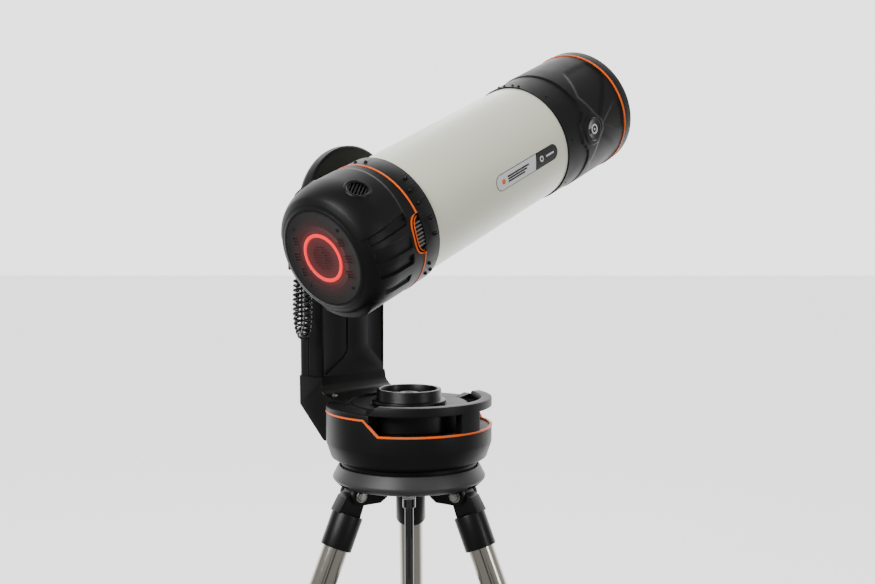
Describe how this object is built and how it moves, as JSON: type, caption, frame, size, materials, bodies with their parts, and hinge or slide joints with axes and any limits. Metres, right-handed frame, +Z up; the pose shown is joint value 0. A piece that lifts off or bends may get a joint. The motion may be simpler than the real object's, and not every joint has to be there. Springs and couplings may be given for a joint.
{
  "type": "electronic schmidt astrograph telescope",
  "caption": "Computer-driven wide-field telescope with a corrector plate in front, on a single-arm altitude-azimuth mount and a folding steel tripod.",
  "frame": {"origin": "on the floor, under the centre of the bounding box at rest", "axes": "+Z up; +Y is the compass direction of the back leg; the tube points 48.4 degrees from +X towards +Y and 21.2 degrees up"},
  "size_m": [0.6564, 0.5618, 1.2347],
  "materials": {
    "cast_grey": "satin powder coat",
    "bolt_steel": "machined",
    "chrome_rod": "polished",
    "black_coat": "satin black powder coat",
    "black_plastic": "fine grain",
    "brass_gear": "machined",
    "motor_black": "moulded",
    "shell_black": "satin moulded",
    "orange_trim": "satin",
    "battery_wrap": "shrink wrap",
    "board_green": "solder mask",
    "panel_black": "smoked, satin",
    "led_red": "lit light guide",
    "tube_cream": "gloss enamel",
    "cell_aluminium": "matt anodised",
    "mirror_glass": "first surface mirror",
    "corrector_glass": "coated optical glass",
    "camera_black": "black anodised",
    "hood_black": "satin moulded",
    "cable_rubber": "satin cable sheath",
    "stainless": "fine lengthwise polish",
    "foot_rubber": "matt"
  },
  "bodies": {
    "tripod": {"tripod_head": "cast_grey", "mount_bolts": "bolt_steel", "centre_rod": "chrome_rod", "leg_pivot_bolts": "bolt_steel", "azimuth_base": "black_coat", "azimuth_worm_wheel": "brass_gear"},
    "leg_1": {"leg_fittings_1": "black_plastic", "leg_tube_1": "stainless"},
    "leg_clamp_1": {"clamp_knob_1": "black_plastic"},
    "lower_leg_1": {"leg_extension_1": "stainless", "foot_1": "foot_rubber"},
    "leg_2": {"leg_fittings_2": "black_plastic", "leg_tube_2": "stainless"},
    "leg_clamp_2": {"clamp_knob_2": "black_plastic"},
    "lower_leg_2": {"leg_extension_2": "stainless", "foot_2": "foot_rubber"},
    "leg_3": {"leg_fittings_3": "black_plastic", "leg_tube_3": "stainless"},
    "leg_clamp_3": {"clamp_knob_3": "black_plastic"},
    "lower_leg_3": {"leg_extension_3": "stainless", "foot_3": "foot_rubber"},
    "tray_slider": {"tray_hub": "bolt_steel"},
    "tray": {"accessory_tray": "black_coat"},
    "tray_nut": {"tray_knob": "black_plastic"},
    "mount_head": {"azimuth_motor": "motor_black", "lower_shell": "shell_black", "upper_shell": "shell_black", "base_trim": "orange_trim", "battery_pack": "battery_wrap", "control_board": "board_green", "fork_arm": "black_coat", "arm_cover": "shell_black", "arm_foot": "black_coat", "altitude_motor": "motor_black", "cable_socket": "black_plastic", "coiled_cable": "cable_rubber"},
    "azimuth_drive": {"azimuth_worm": "bolt_steel"},
    "azimuth_clutch": {"azimuth_clutch_knob": "black_plastic"},
    "button": {"power_button": "black_plastic"},
    "altitude_drive": {"altitude_worm": "bolt_steel"},
    "optical_tube": {"altitude_shaft": "bolt_steel", "altitude_worm_wheel": "brass_gear", "tube_saddle": "black_coat", "rear_housing": "shell_black", "rear_panel": "panel_black", "led_ring": "led_red", "trim_rings": "orange_trim", "rear_cell": "black_coat", "main_tube": "tube_cream", "focus_motor": "motor_black", "corrector_plate": "corrector_glass", "lens_barrel": "motor_black", "camera": "camera_black", "hood": "hood_black", "cable_plug": "black_plastic"},
    "altitude_clutch": {"altitude_clutch_knob": "black_plastic"},
    "focus_mirror": {"mirror_cell": "cell_aluminium", "primary_mirror": "mirror_glass"},
    "drawer": {"filter_drawer": "camera_black"},
    "fan": {"cooling_fan": "motor_black"}
  },
  "joints": [
    {"name": "azimuth_turn", "type": "hinge", "parent": "tripod", "child": "mount_head", "pos_m": [-0.018, -0.0932, 0.7], "axis": [0, 0, 1], "continuous": true},
    {"name": "azimuth_worm_spin", "type": "hinge", "parent": "mount_head", "child": "azimuth_drive", "pos_m": [0.03509, -0.14034, 0.655], "axis": [0.6639, 0.7478, 0], "continuous": true},
    {"name": "azimuth_clutch_turn", "type": "hinge", "parent": "tripod", "child": "azimuth_clutch", "pos_m": [-0.018, -0.0932, 0.72], "axis": [0, 0, 1], "range_deg": [0, 180]},
    {"name": "altitude_tilt", "type": "hinge", "parent": "mount_head", "child": "optical_tube", "pos_m": [-0.10026, -0.02017, 0.988], "axis": [0.7478, -0.6639, 0], "range_deg": [-31.2, 68.8], "deforming": ["coiled_cable"]},
    {"name": "altitude_worm_spin", "type": "hinge", "parent": "mount_head", "child": "altitude_drive", "pos_m": [-0.11148, -0.01021, 0.927], "axis": [0.6639, 0.7478, 0], "range_deg": [-6000, 12800]},
    {"name": "altitude_clutch_turn", "type": "hinge", "parent": "optical_tube", "child": "altitude_clutch", "pos_m": [-0.14139, 0.01635, 0.988], "axis": [-0.7478, 0.6639, 0], "range_deg": [0, 180]},
    {"name": "leg_1_fold", "type": "hinge", "parent": "tripod", "child": "leg_1", "pos_m": [-0.018, -0.0072, 0.593], "axis": [-1, 0, 0], "range_deg": [0, 22.5]},
    {"name": "leg_2_fold", "type": "hinge", "parent": "tripod", "child": "leg_2", "pos_m": [-0.09248, -0.1362, 0.593], "axis": [0.5, -0.866, 0], "range_deg": [0, 22.5]},
    {"name": "leg_3_fold", "type": "hinge", "parent": "tripod", "child": "leg_3", "pos_m": [0.05648, -0.1362, 0.593], "axis": [0.5, 0.866, 0], "range_deg": [0, 22.5]},
    {"name": "leg_1_extend", "type": "slide", "parent": "leg_1", "child": "lower_leg_1", "axis": [0, 0.3827, -0.9239], "range_m": [0, 0.28]},
    {"name": "leg_2_extend", "type": "slide", "parent": "leg_2", "child": "lower_leg_2", "axis": [-0.3314, -0.1913, -0.9239], "range_m": [0, 0.28]},
    {"name": "leg_3_extend", "type": "slide", "parent": "leg_3", "child": "lower_leg_3", "axis": [0.3314, -0.1913, -0.9239], "range_m": [0, 0.28]},
    {"name": "leg_1_clamp_turn", "type": "hinge", "parent": "leg_1", "child": "leg_clamp_1", "pos_m": [-0.018, 0.21265, 0.15369], "axis": [0, 0.9239, 0.3827], "range_deg": [0, 360]},
    {"name": "leg_2_clamp_turn", "type": "hinge", "parent": "leg_2", "child": "leg_clamp_2", "pos_m": [-0.28287, -0.24613, 0.15369], "axis": [-0.8001, -0.4619, 0.3827], "range_deg": [0, 360]},
    {"name": "leg_3_clamp_turn", "type": "hinge", "parent": "leg_3", "child": "leg_clamp_3", "pos_m": [0.24687, -0.24613, 0.15369], "axis": [0.8001, -0.4619, 0.3827], "range_deg": [0, 360]},
    {"name": "tray_slide", "type": "slide", "parent": "tripod", "child": "tray_slider", "axis": [0, 0, -1], "range_m": [0, 0.16]},
    {"name": "tray_turn", "type": "hinge", "parent": "tray_slider", "child": "tray", "pos_m": [-0.018, -0.0932, 0.395], "axis": [0, 0, 1], "range_deg": [0, 60.5]},
    {"name": "tray_knob_turn", "type": "hinge", "parent": "tray_slider", "child": "tray_nut", "pos_m": [-0.018, -0.0932, 0.375], "axis": [0, 0, 1], "range_deg": [0, 360]},
    {"name": "focus_travel", "type": "slide", "parent": "optical_tube", "child": "focus_mirror", "axis": [0.619, 0.6972, 0.3616], "range_m": [-0.004, 0.004]},
    {"name": "filter_drawer_slide", "type": "slide", "parent": "optical_tube", "child": "drawer", "axis": [-0.2401, -0.2704, 0.9323], "range_m": [0, 0.035]},
    {"name": "fan_spin", "type": "hinge", "parent": "optical_tube", "child": "fan", "pos_m": [-0.1189, -0.20684, 0.92905], "axis": [0.619, 0.6972, 0.3616], "continuous": true},
    {"name": "power_button_press", "type": "slide", "parent": "mount_head", "child": "button", "axis": [0.007, -1, 0], "range_m": [0, 0.0015], "stiffness_N_per_m": 800, "springref_m": -0.001}
  ],
  "couplings": [
    {"joint": "azimuth_worm_spin", "follows": "azimuth_turn", "ratio": 180},
    {"joint": "altitude_worm_spin", "follows": "altitude_tilt", "ratio": 180},
    {"joint": "leg_2_fold", "follows": "leg_1_fold", "ratio": 1},
    {"joint": "leg_3_fold", "follows": "leg_1_fold", "ratio": 1},
    {"joint": "tray_slide", "follows": "leg_1_fold", "m_per_rad": 0.4},
    {"joint": "tray_turn", "follows": "leg_1_fold", "ratio": 2.6667}
  ]
}
